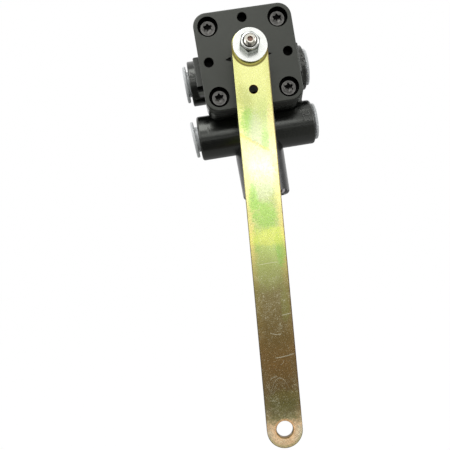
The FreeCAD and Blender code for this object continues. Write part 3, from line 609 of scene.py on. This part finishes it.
def chromate():
    """Yellow chromate film, laid out across the bar and down it."""
    finish = Finish("yellow chromate", Metallic=1.0)
    right, up = (axis * 1000 for axis in finish.axes()[::2])
    across = right * math.cos(lever_tilt) - up * math.sin(lever_tilt)
    down = right * -math.sin(lever_tilt) - up * math.cos(lever_tilt)
    patches = finish.noise(60, 4) - 0.5
    grain = finish.noise(700, 4)
    # the bands down the bar, paler along its edges
    along = down / hole_spacing + patches * 0.05 + (grain - 0.5) * 0.04
    edge = finish.step(abs(across) + patches * 6 + (grain - 0.5) * 5, 6.5, 11.0)
    bands = finish.mix(edge, finish.ramp(along, middle_tints_and_light), finish.ramp(along, edge_tints_and_light))
    finish.set("Base Color", bands)
    blotched(finish, across, down, patches * 3 + (grain - 0.5) * 2.4)
    # speckled grain, and worm-like rubs in two belts of the lower half
    light = finish.step(finish.noise(1250, 3, 0.6), 0.55, 0.70)
    finish.paint(light * 0.30, srgb(255, 254, 226))
    dark = finish.step(finish.noise(1000, 4, 0.7), 0.53, 0.72)
    finish.paint(dark * 0.34, srgb(132, 124, 66))
    wriggles = finish.noise(330, 2, 0.4, distortion=2.0)
    worms = 1 - finish.step(abs(wriggles - 0.5), 0.010, 0.034)
    upper_belt = finish.step(down, 150, 172) * (1 - finish.step(down, 196, 212))
    belts = upper_belt + finish.step(down, 226, 236)
    patchy = finish.step(finish.noise(110, 3), 0.44, 0.58)
    finish.paint(worms * patchy * belts * 0.45, srgb(255, 250, 214))
    scratched(finish, across, down)
    # a faint fold line that slants down to the right and fades there
    off_fold = abs(down - fold_place - across * fold_slant + patches * 5)
    fold = (1 - finish.step(off_fold, 0.4, 2.0)) * (1 - finish.step(across, 6, 11))
    finish.paint(fold * 0.55 * finish.step(grain, 0.35, 0.55), srgb(208, 188, 100))
    edged(finish, across, down, grain)
    hole_rims(finish, across, down)
    # painted shade and reflection: dark olive rings round the washer's lower edge, where its shadow and
    # its mirrored side fall on the bar
    low = down - washer_shade_drop
    washer_shade = finish.disc(across, low, washer_shade_inner, washer_shade_outer)
    rings = finish.ramp((across * across + low * low) / 180.0, washer_shade_tints)
    finish.paint(washer_shade * 0.9, rings)
    polish = finish.step(down, 246, 258) * 0.12
    finish.set("Roughness", 0.24 + (finish.noise(500, 5) - 0.5) * 0.14 + light * 0.06 - polish)
    finish.bump(finish.noise(1500, 4) + light * 0.4, 0.14)
    return finish


lever = smooth_copy("lever_arm", "lever_bar", 30)
finished(lever, chromate(), "yellow_zinc", "lever", "lever_arm")


# Lever washer and lock nut
# Bright zinc-plated washer and an M8 lock nut whose collar is rolled over a dark nylon ring;
# the nut clamps the lever against the shaft's flange.
collar_depth = -0.0996
crease_depth = -0.0993
zinc_finish = plated("bright zinc", srgb(250, 252, 247), srgb(244, 246, 240), 0.26, 0.015)
# the nut is the washer's zinc painted darker, a painted dark reflection on its hex; its rolled collar is
# painted bright again
nut_shade_finish = plated("nut zinc with painted shade", srgb(168, 174, 166), srgb(140, 146, 138), 0.15, 0.012)
right, depth, up = nut_shade_finish.axes()
rolled = 1 - nut_shade_finish.step(depth, collar_depth - 0.0002, collar_depth + 0.0002)
crease_shade = 1 - nut_shade_finish.step(abs(depth - crease_depth), 0.0001, 0.0005)
nut_shade_finish.paint(rolled, srgb(244, 246, 240))
# painted shade in the crease where the collar meets the hex, and round the collar's inner lip
nut_shade_finish.paint(crease_shade * 0.7, srgb(70, 72, 66))
nut_shade_finish.paint(nut_shade_finish.disc(right, up, 0.0049, 0.0052) * 0.9, srgb(44, 42, 36))
ring_finish = moulded("ring nylon", srgb(22, 22, 20), srgb(34, 33, 30), 0.4, 0.2)
finished(smooth_copy("lever_washer", "washer_disc"), zinc_finish, "bright_zinc", "lever", "lever_washer")
finished(smooth_copy("lock_nut", "nut_body"), nut_shade_finish, "bright_zinc", "lever", "lock_nut")
finished(smooth_copy("nut_insert", "nut_ring"), ring_finish, "ring_nylon", "lever", "nut_insert")


# Port plugs
# Soft shipping plugs of natural polyethylene, cloudy and slightly see-through, pushed into
# the four ports by hand.
plug_finish = Finish("cloudy polyethylene", Transmission_Weight=0.2, IOR=1.5)
plug_cloud = plug_finish.noise(120, 4)
plug_finish.set("Base Color", plug_finish.mix(plug_cloud, srgb(242, 246, 246), srgb(250, 252, 252)))
plug_finish.set("Roughness", 0.3 + (plug_finish.noise(400, 4) - 0.5) * 0.1)
plug_finish.bump(plug_finish.noise(900, 3), 0.03)
for port in ("upper_left", "upper_right", "lower_left", "lower_right"):
    plug = smooth_copy("port_plug_" + port, "plug_cap_" + port)
    finished(plug, plug_finish, "plug_plastic", "plug_" + port, "port_plug_" + port)


# Exhaust leg
# Tapered sleeve of the same nylon, pushed onto the stump with a ring seal; inside its mouth
# a grid carries a grey rubber umbrella flap.
leg_finish = moulded("leg nylon", black, worn_black, 0.26, 0.32, gloss=0.95, waves=1.2)
# painted highlights: pale glints on the mouth's rim: place from the leg's axis, height and radius
rim_glints = [(0.0122, -0.0130, -0.0984, 0.0021), (0.0158, -0.0090, -0.0980, 0.0010)]
right, depth, up = leg_finish.axes()
for rightward, backward, upward, radius in rim_glints:
    off_x, off_y, off_z = right - rightward, depth - boss_axis - backward, up - upward
    away = off_x * off_x + off_y * off_y + off_z * off_z
    ragged = away * leg_finish.noise(700, 3) * 2
    rim_glint = 1 - leg_finish.step(ragged, radius ** 2 * 0.5, radius ** 2)
    leg_finish.paint(rim_glint * 0.9, srgb(226, 220, 228))
leg = smooth_copy("exhaust_leg", "leg_sleeve")
finished(leg, leg_finish, "housing_nylon", "valve_body", "exhaust_leg")
flap_finish = moulded("flap rubber", srgb(150, 150, 146), srgb(166, 166, 160), 0.5, 0.2)
flap = smooth_copy("exhaust_flap", "flap_disc")
finished(flap, flap_finish, "flap_rubber", "valve_body", "exhaust_flap")


# Mounting studs
# Two zinc-plated M8 studs that carry the valve on its bracket; their hexagonal feet are
# moulded into the back of the housing.
stud_finish = plated("stud zinc", srgb(208, 206, 192), srgb(176, 174, 160), 0.32)
foot_width = 0.011 / math.cos(math.radians(30))
stud_height = 0.023
stud_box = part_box("mounting_studs")
stud_spread = stud_box[1][0] - stud_box[0][0] - foot_width
for number, side in enumerate((-1, 1), start=1):
    centre = (side * stud_spread / 2, stud_height)
    stud = screw_thread("stud_thread_" + str(number), -0.001, stud_box[1][1], centre)
    bpy.ops.object.shade_smooth_by_angle(angle=math.radians(35))
    finished(stud, stud_finish, "stud_zinc", "valve_body")
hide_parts("mounting_studs")


# Seals and inner pieces
# What the ports, the neck and the exhaust mouth let one see: rubber rings, the bronze bushes,
# the brass sleeve with its spool, the strainer, the non-return disc and its cage.
spring_finish = plated("spring steel", srgb(168, 168, 164), srgb(140, 140, 136), 0.35)
inner_finishes = {
    "rubber": moulded("nitrile rubber", srgb(24, 24, 24), srgb(32, 32, 31), 0.6, 0.2),
    "spring_steel": spring_finish,
    "bearing_bronze": plated("sintered bronze", srgb(176, 132, 76), srgb(150, 108, 62), 0.45),
    "ring_nylon": ring_finish,
    "spool_aluminium": plated("anodised aluminium", srgb(190, 191, 193), srgb(172, 173, 176), 0.35),
    "sleeve_brass": plated("turned brass", srgb(206, 172, 96), srgb(184, 148, 78), 0.3),
    "felt": moulded("pressed felt", srgb(176, 170, 156), srgb(150, 144, 130), 0.95, 0.8),
}
for part in frame["record"]["subparts"]:
    if part["material_slot"] in inner_finishes and part["node"] != "nut_insert":
        for slot in frame["nodes"][part["node"]].material_slots:
            slot.material = inner_finishes[part["material_slot"]].material


# Spool spring
# Coil of spring steel wire that stands on its seat and carries the spool from below; in the valve
# the coil shortens as the spool sinks, but this copy is fixed in place, riding with no body.
spring = smooth_copy("spool_spring", "spring_coil")
spring.parent = None
spring.data.materials.append(spring_finish.material)
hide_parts("spool_spring")
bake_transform(spring)


# Floor, surround and lamps
# A plain white floor below and behind the valve, and a white surround that is only dark
# where the photographer's side of a studio is, with soft lamps in front and above.
white = (1, 1, 1, 1)
floor_height = -0.42
floor_size = 8
floor_middle = 3.9
bpy.context.scene.view_settings.view_transform = "Standard"
bpy.ops.object.select_all(action="DESELECT")
bpy.ops.mesh.primitive_plane_add(size=floor_size, location=(0, floor_middle, floor_height))
floor = bpy.context.object
bpy.ops.object.transform_apply()
floor.name = "floor"
floor_finish = Finish("white floor", Roughness=0.9, Specular_IOR_Level=0.0)
floor_finish.set("Base Color", (0.72, 0.72, 0.72, 1.0))
# it glows for the rays that show it, less so in a mirrored one, and keeps some of its shadow
seen, mirrored, through = floor_finish.backdrop_rays()
strength = floor_finish.maths("MAXIMUM", (seen + through) * 1.02, 0.33)
glow = floor_finish.node("Emission", {}, {"Color": white, "Strength": strength})
plain = Value(floor_finish, floor_finish.shader.outputs[0])
share = (seen + through) * 0.97 + mirrored
shown = floor_finish.node("MixShader", {}, {0: share, 1: plain, 2: glow})
floor_finish.feed(floor_finish.tree.nodes["Material Output"].inputs["Surface"], shown)
floor.data.materials.append(floor_finish.material)

world = bpy.data.worlds.new("surround")
bpy.context.scene.world = world
world.use_nodes = True
surround = Nodes(world.node_tree)
rightward, forward, upward = surround.axes(surround.node("TexCoord", output="Generated"))
# what polished metal mirrors, by height: 0 is straight down, 0.5 level and 1 straight up
front_levels = [
    (0.0, 0.10), (0.15, 0.07), (0.27, 0.08), (0.312, 0.15), (0.322, 1.2), (0.343, 1.2),
    (0.352, 0.2), (0.396, 0.24), (0.430, 0.4), (0.456, 0.66), (0.483, 0.95), (0.5, 1.0),
    (0.68, 1.0), (0.75, 0.8), (1.0, 0.7),
]
front_stops = [(height, (level, level, level, 1)) for height, level in front_levels]
front = surround.ramp(upward * 0.5 + 0.5, front_stops)
# a paler board stands low on the right, and dark flanks stand on both sides
board = (1 - surround.step(upward, -0.44, -0.40)) * surround.step(rightward, 0.06, 0.15)
front = surround.mix(board, front, (0.32, 0.32, 0.31, 1))
flank = surround.step(abs(rightward), 0.82, 0.92)
facing = 1 - surround.step(forward, -0.25, 0.15)
seen, mirrored, through = surround.backdrop_rays()
plain = surround.maths("MAXIMUM", seen + through, 1 - facing)
shown = surround.mix(plain, front, white)
shown = surround.mix(flank * mirrored * 0.5, shown, (0.1, 0.1, 0.1, 1))
strength = surround.maths("MAXIMUM", seen + mirrored + through, 0.55)
background = surround.tree.nodes["Background"]
surround.feed(background.inputs["Color"], shown)
surround.feed(background.inputs["Strength"], strength)


valve_middle = Vector((0, -0.05, -0.08))


def lamp(name, place, size, radiance):
    """Soft square lamp of a given brightness that looks at the middle of the valve."""
    data = bpy.data.lights.new(name, "AREA")
    data.size = size
    data.energy = radiance * math.pi * size * size
    piece = bpy.data.objects.new(name, data)
    bpy.context.scene.collection.objects.link(piece)
    piece.location = place
    aim = valve_middle - Vector(place)
    piece.rotation_euler = aim.to_track_quat("-Z", "Y").to_euler()


lamp("key", (0.10, -1.33, 0.06), 0.22, 2.0)
lamp("overhead", (-0.3, -0.9, 1.0), 0.9, 2.8)
lamp("left", (-1.3, -0.6, 0.3), 0.7, 1.5)
lamp("right", (1.3, -0.5, 0.1), 0.7, 2.0)
